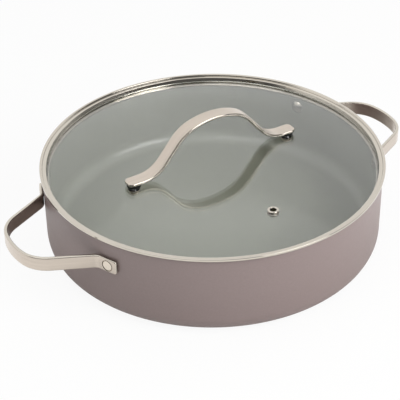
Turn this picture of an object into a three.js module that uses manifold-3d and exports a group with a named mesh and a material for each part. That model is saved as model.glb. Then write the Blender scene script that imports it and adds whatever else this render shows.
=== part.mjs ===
// Cooking pot: a lacquered aluminium body with a steel plate in its base, two riveted strap handles,
// and a nearly flat glass lid in a steel rim ring, with a strap handle and a steam vent.
// Millimetres, +Z up. The origin is the middle of the base, and +X runs out through a side handle.

import * as THREE from 'three';
import { mergeVertices } from 'three/addons/utils/BufferGeometryUtils.js';
import Module from 'manifold-3d';

// Pot body
const potInnerRadius = 140.3;
const potWall = 2.4;
const potHeight = 72;
const potFloor = 4;
const baseCornerRadius = 15.3;
const floorFilletRadius = 13;
const rimEdgeRadius = 0.8;

// Steel plate pressed into the underside of the base
const basePlateRadius = 105;
const basePlateThickness = 0.8;
const basePlateGap = 0.3;

// Flat steel strap that the three handles are bent from
const strapWidth = 12.4;
const strapThickness = 3;
const strapEdgeRadius = 1.15;

// Side handles: reach is from the wall to the outside of the bow
const sideHandleReach = 44.3;
const sideHandleBelowRim = 19.6;
const sideHandleSeatGap = 0.3;
const sideHandleBend = 8;
const sideHandleSplay = 26;
const sideHandleCornerRadius = 28;
const sideHandleNoseAngle = 12;
const sideHandleEndRadius = 2.4;

// Rivets: spacing is between the two of one handle
const rivetSpacing = 116;
const rivetToBend = 7;
const rivetToFootEnd = 8.6;
const rivetShankRadius = 2.5;
const rivetHoleClearance = 0.2;
const rivetHeadRadius = 4.25;
const rivetHeadThickness = 1.2;
const rivetHeadGroove = 0.7;
const rivetHeadSeatGap = 0.2;
const rivetDomeRadius = 5.6;
const rivetDomeHeight = 2.4;
const rivetDomeSeatGap = 0.4;

// Steel ring round the lid: a bead over the rim, a flange inside it, and a skirt with its edge turned in
const ringHeight = 2.6;
const ringOverhang = 1.9;
const ringTopEdgeRadius = 0.4;
const ringLowerEdgeRadius = 1.2;
const ringTopLand = 1;
const ringBeadRound = 0.9;
const ringBeadStep = 1.4;
const ringBeadLean = 0.5;
const ringFaceLean = 0.8;
const ringSkirtDrop = 3.4;
const ringHemHeight = 1.8;
const ringHemReach = 1.6;
const ringHemEdgeRadius = 0.8;
const ringSkirtClearance = 0.5;
const ringSheet = 0.6;
const ringSeatGap = 0.3;

// Glass of the lid: flat in the middle, rolled down to an edge that the ring grips
const glassThickness = 4;
const glassFlatMargin = 4;
const glassRise = 2.1;
const glassEdgeBelowRim = 1.4;
const glassGrip = 0.7;
const glassClearance = 0.1;

// Lid handle: rise is from the middle of its feet to the middle of the strap at the crown
const lidHandleRise = 38.5;
const lidHandleBend = 28;
const lidHandleSplay = 40;
const lidHandleShoulderRadius = 34;
const lidHandleCrownAngle = 19;
const lidHandleEndRadius = 4.2;
const lidScrewSpacing = 151;
const lidScrewToBend = 6.4;
const lidScrewToFootEnd = 6.4;

// Threaded bosses, soft washers, flat washers and screws that hold the lid handle
const bossRadius = 2.8;
const bossTopWall = 0.8;
const screwShankRadius = 2;
const screwThreadClearance = 0.15;
const screwTipGap = 0.5;
const screwHeadRadius = 3.6;
const screwHeadHeight = 2.4;
const screwHeadDome = 0.9;
const screwSlotLength = 4.4;
const screwSlotWidth = 1;
const screwSlotDepth = 1.3;
const softWasherRadius = 5.8;
const softWasherThickness = 2.4;
const softCollarWall = 0.6;
const softCollarShort = 1;
const lowerWasherRadius = 4.8;
const lowerWasherThickness = 1.5;
const flatWasherRadius = 4.6;
const flatWasherThickness = 1;
const stackClearance = 0.2;

// Steam vent: a rolled steel eyelet through the glass, over a flat washer
const ventFromMiddle = 90.5;
const ventBoreRadius = 2.6;
const ventSheet = 0.8;
const ventFlangeRadius = 4.75;
const ventFlangeHeight = 1;
const ventLipRadius = 4.4;
const ventLipHeight = 0.9;
const ventWasherRadius = 4.9;
const ventWasherThickness = 0.8;
const ventClearance = 0.2;

// Fineness of the round forms
const largeSegments = 64;
const smallSegments = 20;
const arcSteps = 5;
const edgeSteps = 2;
const bendSteps = 4;
const footSteps = 2;
const strapEdgeSteps = 1;
const mergeDistance = 1e-4;

// Levels and radii that several pieces share
const potOuterRadius = potInnerRadius + potWall;
const ringUnderside = potHeight + ringSeatGap;
const ringTop = ringUnderside + ringHeight;
const ringOuterRadius = potOuterRadius + ringOverhang;
const skirtOuterRadius = potInnerRadius - ringSkirtClearance;
const grooveRadius = skirtOuterRadius - ringSheet;
const glassRadius = grooveRadius - glassClearance;
const ringInnerRadius = glassRadius - glassGrip;
const glassEdgeTop = potHeight - glassEdgeBelowRim;
const glassTop = glassEdgeTop + glassRise;
const glassBottom = glassTop - glassThickness;
const ringBottom = glassEdgeTop - glassThickness - glassClearance - ringSkirtDrop;
const glassFlatRadius = glassFlatMargin + Math.max(
  lidScrewSpacing / 2 + lowerWasherRadius,
  ventFromMiddle + ventWasherRadius,
);
const lidFootUnderside = glassTop + softWasherThickness;
const screwSeat = glassBottom - lowerWasherThickness - flatWasherThickness;
const footRadius = potOuterRadius + sideHandleSeatGap + strapThickness / 2;
const footFace = footRadius + strapThickness / 2;
const rivetAngle = Math.asin(rivetSpacing / 2 / potOuterRadius);
const rivetLevel = potHeight - sideHandleBelowRim;

const wasm = await Module();
wasm.setup();

const radians = THREE.MathUtils.degToRad;

// Materials
function finish(color, roughness, metalness) {
  return new THREE.MeshStandardMaterial({ color, roughness, metalness });
}

const lacquer = () => finish('#8b7d7c', 0.35, 0.2);
const satinSteel = () => finish('#c9beac', 0.35, 1);
const polishedSteel = () => finish('#cfcbc4', 0.15, 1);
const silicone = () => finish('#1d1d1c', 0.7, 0);

function clearGlass() {
  const glass = finish('#dfe6e2', 0.05, 0);
  glass.transparent = true;
  glass.opacity = 0.35;
  return glass;
}

// Points of an arc round a centre (radius, height), between two angles in degrees.
function arc(centreX, centreY, radius, from, to, steps = arcSteps) {
  const points = [];
  for (let i = 0; i <= steps; i += 1) {
    const angle = radians(from + ((to - from) * i) / steps);
    points.push([centreX + radius * Math.cos(angle), centreY + radius * Math.sin(angle)]);
  }
  return points;
}

// A turned solid about Z. Its outline of [radius, height] points runs anticlockwise, axis to axis.
function turned(outline, segments) {
  const points = outline.map(([radius, height]) => new THREE.Vector2(radius, height));
  return new THREE.LatheGeometry(points, segments).rotateX(Math.PI / 2);
}

// A turned ring, whose outline closes on itself.
function turnedRing(outline, segments) {
  return turned([...outline, outline[0]], segments);
}

// A plain flat ring or washer between two levels.
function washer(innerRadius, outerRadius, bottom, top, segments) {
  return turnedRing([
    [innerRadius, bottom],
    [outerRadius, bottom],
    [outerRadius, top],
    [innerRadius, top],
  ], segments);
}

// A closed geometry as a solid that can be cut.
function solidOf(geometry) {
  const loose = geometry.index ? geometry.toNonIndexed() : geometry;
  const bare = new THREE.BufferGeometry().setAttribute('position', loose.getAttribute('position'));
  const merged = mergeVertices(bare, mergeDistance);
  return new wasm.Manifold(new wasm.Mesh({
    numProp: 3,
    vertProperties: merged.getAttribute('position').array,
    triVerts: new Uint32Array(merged.index.array),
  }));
}

// A geometry with each of the tools cut out of it.
function cut(geometry, tools) {
  let solid = solidOf(geometry);
  for (const tool of tools) {
    solid = solid.subtract(solidOf(tool));
  }
  const mesh = solid.getMesh();
  const result = new THREE.BufferGeometry();
  result.setAttribute('position', new THREE.BufferAttribute(mesh.vertProperties, 3));
  result.setIndex(new THREE.BufferAttribute(mesh.triVerts, 1));
  result.computeVertexNormals();
  return result;
}

function named(name, geometry, material) {
  const mesh = new THREE.Mesh(geometry, material);
  mesh.name = name;
  return mesh;
}

// Lays a piece turned about Z out along the radius at an angle round the pot, at the rivets' level.
function alongRadius(angle) {
  const turn = new THREE.Matrix4().makeRotationZ(angle);
  turn.multiply(new THREE.Matrix4().makeRotationY(Math.PI / 2));
  return turn.setPosition(0, 0, rivetLevel);
}

// Half of a bent strap handle in its own plane, from the end of its foot to the crown of its bow.
// A station has its place u, out through the crown, and v, across it, its heading and how much each
// side is drawn in for the round end. The leg's length and the crown's radius follow from the reach.
function halfBow(footAt, footLength, bow) {
  const stations = [];
  const endRadius = Math.min(bow.endRadius, strapWidth / 2, footLength);
  for (let i = 0; i < bendSteps; i += 1) {
    const turn = (Math.PI / 2) * (i / bendSteps);
    const fromEnd = endRadius * (1 - Math.cos(turn));
    stations.push({ ...footAt(footLength - fromEnd), drawnIn: endRadius * (1 - Math.sin(turn)) });
  }
  for (let i = 0; i <= footSteps; i += 1) {
    const fromEnd = endRadius + ((footLength - endRadius) * i) / footSteps;
    stations.push({ ...footAt(footLength - fromEnd), drawnIn: 0 });
  }

  const splay = radians(bow.splay);
  const crownAngle = radians(bow.crownAngle);
  const knee = footAt(0);
  const bendTurn = -splay - knee.heading;
  const bendU = knee.u - bow.bend * Math.sin(knee.heading);
  const bendV = knee.v + bow.bend * Math.cos(knee.heading);
  const along = (u, v, heading) => stations.push({ u, v, heading, drawnIn: 0 });
  for (let i = 1; i <= bendSteps; i += 1) {
    const heading = knee.heading + (bendTurn * i) / bendSteps;
    along(bendU + bow.bend * Math.sin(heading), bendV - bow.bend * Math.cos(heading), heading);
  }

  const legStart = stations[stations.length - 1];
  const reachLeft = bow.reach - legStart.u - bow.corner * (Math.cos(crownAngle) - Math.sin(splay));
  const acrossLeft = legStart.v - bow.corner * (Math.cos(splay) - Math.sin(crownAngle));
  const crownReach = 1 - Math.cos(crownAngle);
  const spread = Math.cos(splay) * Math.sin(crownAngle) - Math.sin(splay) * crownReach;
  const leg = (reachLeft * Math.sin(crownAngle) - acrossLeft * crownReach) / spread;
  const crownRadius = (acrossLeft * Math.cos(splay) - reachLeft * Math.sin(splay)) / spread;
  along(legStart.u + leg * Math.cos(splay), legStart.v - leg * Math.sin(splay), -splay);

  const crownStart = crownAngle - Math.PI / 2;
  const turns = [
    { radius: bow.corner, to: crownStart, steps: 2 * bendSteps },
    { radius: crownRadius, to: -Math.PI / 2, steps: bendSteps },
  ];
  for (const { radius, to, steps } of turns) {
    const start = stations[stations.length - 1];
    for (let i = 1; i <= steps; i += 1) {
      const heading = start.heading + ((to - start.heading) * i) / steps;
      const u = start.u + radius * (Math.sin(start.heading) - Math.sin(heading));
      const v = start.v + radius * (Math.cos(heading) - Math.cos(start.heading));
      along(u, v, heading);
    }
  }
  return stations;
}

// The section of the strap as [across, through] points, anticlockwise, with rounded edges.
function strapSection(drawnIn) {
  const halfWidth = strapWidth / 2 - drawnIn;
  const edge = Math.min(strapEdgeRadius, strapThickness / 2, halfWidth);
  const across = halfWidth - edge;
  const through = strapThickness / 2 - edge;
  return [
    ...arc(across, through, edge, 0, 90, strapEdgeSteps),
    ...arc(-across, through, edge, 90, 180, strapEdgeSteps),
    ...arc(-across, -through, edge, 180, 270, strapEdgeSteps),
    ...arc(across, -through, edge, 270, 360, strapEdgeSteps),
  ];
}

// A whole strap handle: half a bow and its mirror image, with the section set square on each station.
// inSpace turns (u, v, across) into X, Y and Z.
function strapHandle(half, inSpace) {
  const mirrored = half.slice(0, -1).reverse().map(({ u, v, heading, drawnIn }) => (
    { u, v: -v, heading: -Math.PI - heading, drawnIn }
  ));
  const positions = [];
  const stations = [...half, ...mirrored];
  for (const { u, v, heading, drawnIn } of stations) {
    for (const [across, through] of strapSection(drawnIn)) {
      positions.push(...inSpace(u - through * Math.sin(heading), v + through * Math.cos(heading), across));
    }
  }
  const around = positions.length / 3 / stations.length;
  const faces = [];
  for (let i = 0; i + 1 < stations.length; i += 1) {
    for (let j = 0; j < around; j += 1) {
      const here = i * around + j;
      const next = i * around + ((j + 1) % around);
      faces.push(here, here + around, next, next, here + around, next + around);
    }
  }
  const last = (stations.length - 1) * around;
  for (let j = 1; j + 1 < around; j += 1) {
    faces.push(0, j, j + 1, last, last + j + 1, last + j);
  }
  const geometry = new THREE.BufferGeometry();
  geometry.setAttribute('position', new THREE.Float32BufferAttribute(positions, 3));
  geometry.setIndex(faces);
  geometry.computeVertexNormals();
  return geometry;
}

// The hole and the round recess that a rivet needs, turned about its axis from inside the pot outward.
function rivetHole() {
  const recessFloor = footFace - rivetHeadThickness - rivetHeadSeatGap;
  const holeRadius = rivetShankRadius + rivetHoleClearance;
  const recessRadius = rivetHeadRadius + rivetHeadGroove;
  return turned([
    [0, potInnerRadius - potWall],
    [holeRadius, potInnerRadius - potWall],
    [holeRadius, recessFloor],
    [recessRadius, recessFloor],
    [recessRadius, footFace + potWall],
    [0, footFace + potWall],
  ], smallSegments);
}

function potBody() {
  const recessRadius = basePlateRadius + basePlateGap;
  const innerFloorRadius = potInnerRadius - floorFilletRadius;
  const outerEdge = potOuterRadius - rimEdgeRadius;
  const innerEdge = potInnerRadius + rimEdgeRadius;
  const edgeLevel = potHeight - rimEdgeRadius;
  const body = turned([
    [0, basePlateThickness],
    [recessRadius, basePlateThickness],
    [recessRadius, 0],
    ...arc(potOuterRadius - baseCornerRadius, baseCornerRadius, baseCornerRadius, -90, 0),
    ...arc(outerEdge, edgeLevel, rimEdgeRadius, 0, 90, edgeSteps),
    ...arc(innerEdge, edgeLevel, rimEdgeRadius, 90, 180, edgeSteps),
    ...arc(innerFloorRadius, potFloor + floorFilletRadius, floorFilletRadius, 0, -90),
    [0, potFloor],
  ], largeSegments);
  const angles = [rivetAngle, -rivetAngle, Math.PI - rivetAngle, Math.PI + rivetAngle];
  const holes = angles.map((angle) => rivetHole().applyMatrix4(alongRadius(angle)));
  return named('pot_body', cut(body, holes), lacquer());
}

function basePlate() {
  const plate = turned([
    [0, 0],
    [basePlateRadius, 0],
    [basePlateRadius, basePlateThickness],
    [0, basePlateThickness],
  ], largeSegments);
  return named('induction_base_plate', plate, satinSteel());
}

// A side handle on the +X side: each foot follows the wall, and the bow lies level.
function sideHandle(name) {
  const kneeAngle = rivetAngle - rivetToBend / footRadius;
  const footAt = (distance) => {
    const angle = kneeAngle + distance / footRadius;
    return {
      u: footRadius * Math.cos(angle),
      v: footRadius * Math.sin(angle),
      heading: angle - Math.PI / 2,
    };
  };
  const half = halfBow(footAt, rivetToBend + rivetToFootEnd, {
    reach: potOuterRadius + sideHandleReach - strapThickness / 2,
    bend: sideHandleBend,
    splay: sideHandleSplay,
    corner: sideHandleCornerRadius,
    crownAngle: sideHandleNoseAngle,
    endRadius: sideHandleEndRadius,
  });
  const strap = strapHandle(half, (u, v, across) => [u, v, rivetLevel + across]);
  const holes = [rivetAngle, -rivetAngle].map((angle) => rivetHole().applyMatrix4(alongRadius(angle)));
  return named(name, cut(strap, holes), satinSteel());
}

// A rivet, turned about its own axis: a domed head inside the pot, a flush head outside the foot.
function rivet(name, angle) {
  const domeFace = potInnerRadius - rivetDomeSeatGap;
  const domeBulge = (rivetDomeRadius ** 2 + rivetDomeHeight ** 2) / (2 * rivetDomeHeight);
  const domeAngle = THREE.MathUtils.radToDeg(Math.asin(rivetDomeRadius / domeBulge));
  const geometry = turned([
    ...arc(0, domeFace - rivetDomeHeight + domeBulge, domeBulge, -90, domeAngle - 90, bendSteps),
    [rivetShankRadius, domeFace],
    [rivetShankRadius, footFace - rivetHeadThickness],
    [rivetHeadRadius, footFace - rivetHeadThickness],
    [rivetHeadRadius, footFace],
    [0, footFace],
  ], smallSegments);
  const mesh = named(name, geometry, satinSteel());
  mesh.applyMatrix4(alongRadius(angle));
  return mesh;
}

// One side's handle with its two rivets, in a group that is turned to that side.
function handleSide(side, turn) {
  const group = new THREE.Group();
  group.add(sideHandle(`${side}_side_handle`));
  group.add(rivet(`${side}_handle_rivet_1`, -rivetAngle));
  group.add(rivet(`${side}_handle_rivet_2`, rivetAngle));
  group.rotation.z = turn;
  return group;
}

// The ring: a bead over the rim, a flange inside it, and a skirt with a groove for the glass.
function lidRing() {
  const lowerEdge = ringLowerEdgeRadius;
  const topEdge = ringTopEdgeRadius;
  const topCentre = ringOuterRadius - topEdge;
  const beadCentre = topCentre - ringTopLand;
  const lean = Math.atan2(ringBeadLean, ringBeadStep);
  const leanDegrees = THREE.MathUtils.radToDeg(lean);
  const beadCorner = beadCentre - ringBeadRound * Math.tan(Math.PI / 4 - lean / 2);
  const flangeTop = ringTop - ringBeadStep;
  const grooveTop = glassEdgeTop + glassClearance;
  const grooveBottom = glassEdgeTop - glassThickness - glassClearance;
  const hemTop = ringBottom + ringHemHeight;
  const hemEdge = ringHemEdgeRadius;
  const hemCentre = ringInnerRadius - ringHemReach + hemEdge;
  const ring = turnedRing([
    ...arc(hemCentre, hemTop - hemEdge, hemEdge, 90, 180, edgeSteps),
    ...arc(hemCentre, ringBottom + hemEdge, hemEdge, 180, 270, edgeSteps),
    [skirtOuterRadius, ringBottom],
    [skirtOuterRadius, ringUnderside],
    ...arc(ringOuterRadius - lowerEdge, ringUnderside + lowerEdge, lowerEdge, -90, 0, edgeSteps),
    ...arc(topCentre, ringTop - topEdge, topEdge, 0, 90, edgeSteps),
    ...arc(beadCentre, ringTop - ringBeadRound, ringBeadRound, 90, 180 - leanDegrees, edgeSteps),
    [beadCorner - ringBeadLean, flangeTop],
    [ringInnerRadius + ringFaceLean, flangeTop],
    [ringInnerRadius, grooveTop],
    [grooveRadius, grooveTop],
    [grooveRadius, grooveBottom],
    [ringInnerRadius, grooveBottom],
    [ringInnerRadius, hemTop],
  ], largeSegments);
  return named('lid_rim_ring', ring, polishedSteel());
}

// The glass, with holes for the two handle bosses and the vent.
function lidGlass() {
  const roll = glassRadius - glassFlatRadius;
  const rollRadius = (roll ** 2 + glassRise ** 2) / (2 * glassRise);
  const rollAngle = THREE.MathUtils.radToDeg(Math.asin(roll / rollRadius));
  const upper = arc(glassFlatRadius, glassTop - rollRadius, rollRadius, 90 - rollAngle, 90, bendSteps);
  const lower = arc(glassFlatRadius, glassBottom - rollRadius, rollRadius, 90, 90 - rollAngle, bendSteps);
  const glass = turned([[0, glassBottom], ...lower, ...upper, [0, glassTop]], largeSegments);
  const hole = (radius, x, y) => (
    new THREE.CylinderGeometry(radius, radius, 3 * glassThickness, smallSegments)
      .rotateX(Math.PI / 2)
      .translate(x, y, (glassTop + glassBottom) / 2)
  );
  const bossHole = bossRadius + stackClearance + softCollarWall + stackClearance;
  const ventHole = ventBoreRadius + ventSheet + ventClearance;
  const holes = [
    hole(bossHole, lidScrewSpacing / 2, 0),
    hole(bossHole, -lidScrewSpacing / 2, 0),
    hole(ventHole, 0, -ventFromMiddle),
  ];
  return named('lid_glass', cut(glass, holes), clearGlass());
}

// The lid handle: flat feet on the soft washers, and a bow that stands over the middle of the lid.
function lidHandle() {
  const footLevel = lidFootUnderside + strapThickness / 2;
  const kneeV = lidScrewSpacing / 2 - lidScrewToBend;
  const footAt = (distance) => ({ u: footLevel, v: kneeV + distance, heading: -Math.PI / 2 });
  const half = halfBow(footAt, lidScrewToBend + lidScrewToFootEnd, {
    reach: footLevel + lidHandleRise,
    bend: lidHandleBend,
    splay: lidHandleSplay,
    corner: lidHandleShoulderRadius,
    crownAngle: lidHandleCrownAngle,
    endRadius: lidHandleEndRadius,
  });
  const strap = strapHandle(half, (u, v, across) => [v, across, u]);
  return named('lid_handle', strap, satinSteel());
}

// A boss welded under a foot of the lid handle, with a blind hole for its screw.
function lidBoss(name) {
  const bore = screwShankRadius + screwThreadClearance;
  const bottom = screwSeat + flatWasherThickness + stackClearance;
  const boss = turned([
    [0, lidFootUnderside - bossTopWall],
    [bore, lidFootUnderside - bossTopWall],
    [bore, bottom],
    [bossRadius, bottom],
    [bossRadius, lidFootUnderside],
    [0, lidFootUnderside],
  ], smallSegments);
  return named(name, boss, satinSteel());
}

// The soft washer under a foot, with a collar that keeps the boss off the glass.
function softWasher(name) {
  const bore = bossRadius + stackClearance;
  const collar = bore + softCollarWall;
  const geometry = turnedRing([
    [bore, glassBottom + softCollarShort],
    [collar, glassBottom + softCollarShort],
    [collar, glassTop],
    [softWasherRadius, glassTop],
    [softWasherRadius, lidFootUnderside],
    [bore, lidFootUnderside],
  ], smallSegments);
  return named(name, geometry, silicone());
}

function lowerWasher(name) {
  const bore = bossRadius + stackClearance;
  const bottom = glassBottom - lowerWasherThickness;
  const geometry = washer(bore, lowerWasherRadius, bottom, glassBottom, smallSegments);
  return named(name, geometry, silicone());
}

function flatWasher(name) {
  const bore = screwShankRadius + stackClearance;
  const top = screwSeat + flatWasherThickness;
  const geometry = washer(bore, flatWasherRadius, screwSeat, top, smallSegments);
  return named(name, geometry, satinSteel());
}

// A pan-head screw from below, with a cross slot in its head.
function lidScrew(name) {
  const headBottom = screwSeat - screwHeadHeight;
  const tip = lidFootUnderside - bossTopWall - screwTipGap;
  const screw = turned([
    [0, headBottom],
    [screwHeadRadius - screwHeadDome, headBottom],
    ...arc(screwHeadRadius - screwHeadDome, headBottom + screwHeadDome, screwHeadDome, -90, 0, edgeSteps),
    [screwHeadRadius, screwSeat],
    [screwShankRadius, screwSeat],
    [screwShankRadius, tip],
    [0, tip],
  ], smallSegments);
  const slot = () => (
    new THREE.BoxGeometry(screwSlotLength, screwSlotWidth, 2 * screwSlotDepth).translate(0, 0, headBottom)
  );
  const slots = [slot(), slot().rotateZ(Math.PI / 2)];
  return named(name, cut(screw, slots), polishedSteel());
}

// One foot's boss, washers and screw, stacked on their own axis.
function lidStack(side, x) {
  const group = new THREE.Group();
  group.add(lidBoss(`${side}_lid_boss`));
  group.add(softWasher(`${side}_lid_upper_washer`));
  group.add(lowerWasher(`${side}_lid_lower_washer`));
  group.add(flatWasher(`${side}_lid_flat_washer`));
  group.add(lidScrew(`${side}_lid_screw`));
  group.position.x = x;
  return group;
}

// The eyelet's outline: a rounded flange on the glass, a barrel through it and a lip rolled out below.
function ventEyelet() {
  const barrel = ventBoreRadius + ventSheet;
  const washerBottom = glassBottom - ventWasherThickness;
  const lipBottom = washerBottom - ventLipHeight;
  const round = Math.min(ventFlangeHeight, (ventFlangeRadius - ventBoreRadius) / 2);
  const flangeTop = glassTop + ventFlangeHeight;
  const geometry = turnedRing([
    [ventBoreRadius, lipBottom],
    [ventLipRadius, lipBottom],
    [ventLipRadius, washerBottom],
    [barrel, washerBottom],
    [barrel, glassTop],
    [ventFlangeRadius, glassTop],
    ...arc(ventFlangeRadius - round, flangeTop - round, round, 0, 90, bendSteps),
    ...arc(ventBoreRadius + round, flangeTop - round, round, 90, 180, bendSteps),
  ], smallSegments);
  return named('steam_vent_eyelet', geometry, polishedSteel());
}

function ventWasher() {
  const bore = ventBoreRadius + ventSheet + ventClearance;
  const bottom = glassBottom - ventWasherThickness;
  const geometry = washer(bore, ventWasherRadius, bottom, glassBottom, smallSegments);
  return named('steam_vent_washer', geometry, satinSteel());
}

function steamVent() {
  const group = new THREE.Group();
  group.add(ventEyelet(), ventWasher());
  group.position.y = -ventFromMiddle;
  return group;
}

function pot() {
  const group = new THREE.Group();
  group.add(potBody(), basePlate(), handleSide('right', 0), handleSide('left', Math.PI));
  return group;
}

function lid() {
  const group = new THREE.Group();
  group.add(lidGlass(), lidRing(), lidHandle(), steamVent());
  group.add(lidStack('right', lidScrewSpacing / 2), lidStack('left', -lidScrewSpacing / 2));
  return group;
}

const cookingPot = new THREE.Group();
cookingPot.add(pot(), lid());

export default cookingPot;
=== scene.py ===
"""Looks of a low cooking pot with riveted strap handles and a glass lid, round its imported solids.

Lengths are metres, in the frame of the solids: +Z up, the origin in the middle of the base,
+X out through a side handle and -Y towards the steam vent. MM turns millimetres to metres.
"""

import math
from collections import namedtuple

import bmesh
import bpy
from bpy.props import FloatProperty, FloatVectorProperty, PointerProperty
from bpy.types import Operator, Panel, PropertyGroup
from mathutils import Matrix, Vector


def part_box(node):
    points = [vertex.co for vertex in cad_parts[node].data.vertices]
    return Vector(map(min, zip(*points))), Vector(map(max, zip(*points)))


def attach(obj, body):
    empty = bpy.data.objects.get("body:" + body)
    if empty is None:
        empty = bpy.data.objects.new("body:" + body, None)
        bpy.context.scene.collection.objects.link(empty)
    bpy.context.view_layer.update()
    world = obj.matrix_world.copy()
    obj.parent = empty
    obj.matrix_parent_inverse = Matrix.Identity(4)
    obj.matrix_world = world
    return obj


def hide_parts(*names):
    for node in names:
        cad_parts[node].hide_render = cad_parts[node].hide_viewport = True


bl_info = {
    "name": "Cooking Pot",
    "version": (1, 0, 0),
    "blender": (4, 5, 0),
    "location": "3D View > Sidebar > Pot",
    "description": "Builds a low cooking pot with strap handles and a glass lid",
    "category": "Add Mesh",
}

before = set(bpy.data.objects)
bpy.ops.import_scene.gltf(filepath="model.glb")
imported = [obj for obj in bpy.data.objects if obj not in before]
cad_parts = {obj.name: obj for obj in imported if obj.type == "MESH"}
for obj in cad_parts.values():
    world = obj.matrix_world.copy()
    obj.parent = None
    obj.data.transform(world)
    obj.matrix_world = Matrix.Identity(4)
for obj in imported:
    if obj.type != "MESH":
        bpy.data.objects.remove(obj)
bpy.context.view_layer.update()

MM = 0.001

# Fineness of the round forms
LARGE_SEGMENTS = 256
SMALL_SEGMENTS = 64
ARC_STEP = math.radians(8)
BEND_STEP = math.radians(4)
FEWEST_STEPS = 2
END_STEPS = 10
FOOT_STEPS = 12
ROLL_STEPS = 16
STRAP_EDGE_STEP = math.radians(22.5)
SHARP_ANGLE = math.radians(35)
ON_AXIS = 1e-7

# Share of the strap's half thickness that its roundings may take, so that no two points meet
EDGE_SHARE = 0.999

# Share of the strap's rounded edge that is left brushed, like the wide face beside it
BRUSHED_SHARE = 1 / 3

# How far a cutter reaches past the face that it cuts
CUT_MARGIN = 3 * MM

# The strap handles' own map: metres along the strap and across it
STRAP_MAP = "strap"

# Distance between the rings of Blender's wave texture at a scale of 1
WAVE_PITCH = math.tau / 20

WHITE = (1.0, 1.0, 1.0, 1.0)


# Settings

def linear(hex_value):
    """An sRGB hex colour such as 8b7d7c as linear red, green and blue."""
    channels = [int(hex_value[i:i + 2], 16) / 255 for i in (0, 2, 4)]
    return tuple(c / 12.92 if c <= 0.04045 else ((c + 0.055) / 1.055) ** 2.4 for c in channels)


def length(name, description, metres):
    return FloatProperty(name=name, description=description, default=metres,
                         unit="LENGTH", subtype="DISTANCE", precision=5)


def angle(name, description, degrees):
    return FloatProperty(name=name, description=description, default=math.radians(degrees),
                         unit="ROTATION", subtype="ANGLE")


def share(name, description, part):
    return FloatProperty(name=name, description=description, default=part,
                         min=0.0, max=1.0, subtype="FACTOR")


def brightness(name, description, level):
    return FloatProperty(name=name, description=description, default=level, min=0.0)


def colour(name, description, hex_value):
    return FloatVectorProperty(name=name, description=description, default=linear(hex_value),
                               size=3, min=0.0, max=1.0, subtype="COLOR")


def low(node):
    """The lowest corner of a solid."""
    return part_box(node)[0]


def high(node):
    """The highest corner of a solid."""
    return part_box(node)[1]


def middle(node):
    return (low(node) + high(node)) / 2


def half_size(node):
    return (high(node) - low(node)) / 2


class PotBodySettings(PropertyGroup):
    outer_radius: length("Outer radius", "Outside of the wall", high("pot_body").y)
    height: length("Height", "Rim above the base", high("pot_body").z)
    wall: length("Wall", "Thickness of the wall", 2.4 * MM)
    floor: length("Floor", "Thickness of the floor, base plate included", 4 * MM)
    base_corner: length("Base corner", "Radius between wall and base, outside", 15.3 * MM)
    floor_fillet: length("Floor fillet", "Radius between wall and floor, inside", 13 * MM)
    rim_edge: length("Rim edge", "Rounding of the rim", 0.8 * MM)
    recess_gap: length("Recess gap", "Gap round the base plate", 0.3 * MM)
    recess_edge: length("Recess edge", "Rounding of the edge round the base plate", 0.25 * MM)
    lacquer: colour("Lacquer", "Mauve-taupe lacquer outside", "8f7f7d")
    ceramic: colour("Ceramic", "Pale grey ceramic coat inside", "686a5f")


class BasePlateSettings(PropertyGroup):
    radius: length("Radius", "Outside of the plate", high("induction_base_plate").y)
    thickness: length("Thickness", "Thickness of the plate", high("induction_base_plate").z)
    edge: length("Edge", "Rounding of the plate's edge", 0.2 * MM)
    steel: colour("Steel", "Turned steel of the base", "c4beb6")


class StrapSettings(PropertyGroup):
    width: length("Width", "Width of the strap", 2 * half_size("lid_handle").y)
    thickness: length("Thickness", "Thickness of the strap", 3 * MM)
    edge: length("Edge", "Rounding of the strap's long edges", 1.15 * MM)
    steel: colour("Steel", "Warm stainless steel of the handles", "b4aa9f")


class SideHandleSettings(PropertyGroup):
    out: length("Out", "Outside of the bow, from the pot's axis", high("right_side_handle").x)
    level: length("Level", "Middle of the strap above the base", middle("right_side_handle").z)
    seat_gap: length("Seat gap", "Gap between a foot and the wall", 0.3 * MM)
    bend: length("Bend", "Radius from a foot into its leg", 8 * MM)
    splay: angle("Splay", "Lean of a leg to the middle of the bow", 26)
    corner: length("Corner", "Radius from a leg into the nose", 28 * MM)
    nose: angle("Nose angle", "Half the turn of the nose of the bow", 12)
    end_corner: length("End corner", "Radius of the corners of a foot", 2.4 * MM)


class RivetSettings(PropertyGroup):
    spacing: length("Spacing", "Between the two rivets of one handle", 116 * MM)
    to_bend: length("To bend", "From a rivet along the foot to the bend", 7 * MM)
    to_end: length("To end", "From a rivet to the end of the foot", 8.6 * MM)
    shank_radius: length("Shank radius", "Radius of the shank", 2.5 * MM)
    hole_clearance: length("Hole clearance", "Gap round the shank", 0.2 * MM)
    head_radius: length("Head radius", "Radius of the flush head", 4.25 * MM)
    head_thickness: length("Head thickness", "Thickness of the flush head", 1.2 * MM)
    head_edge: length("Head edge", "Rounding of the flush head", 0.25 * MM)
    groove: length("Groove", "Open ring round the flush head", 0.7 * MM)
    seat_gap: length("Seat gap", "Gap under the flush head", 0.2 * MM)
    dome_radius: length("Dome radius", "Radius of the head inside the pot", 5.6 * MM)
    dome_height: length("Dome height", "Height of the head inside the pot", 2.4 * MM)
    dome_gap: length("Dome gap", "Gap under the domed head", 0.4 * MM)
    steel: colour("Steel", "Satin steel of the rivets and the lid's fasteners", "c8beb1")


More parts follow.
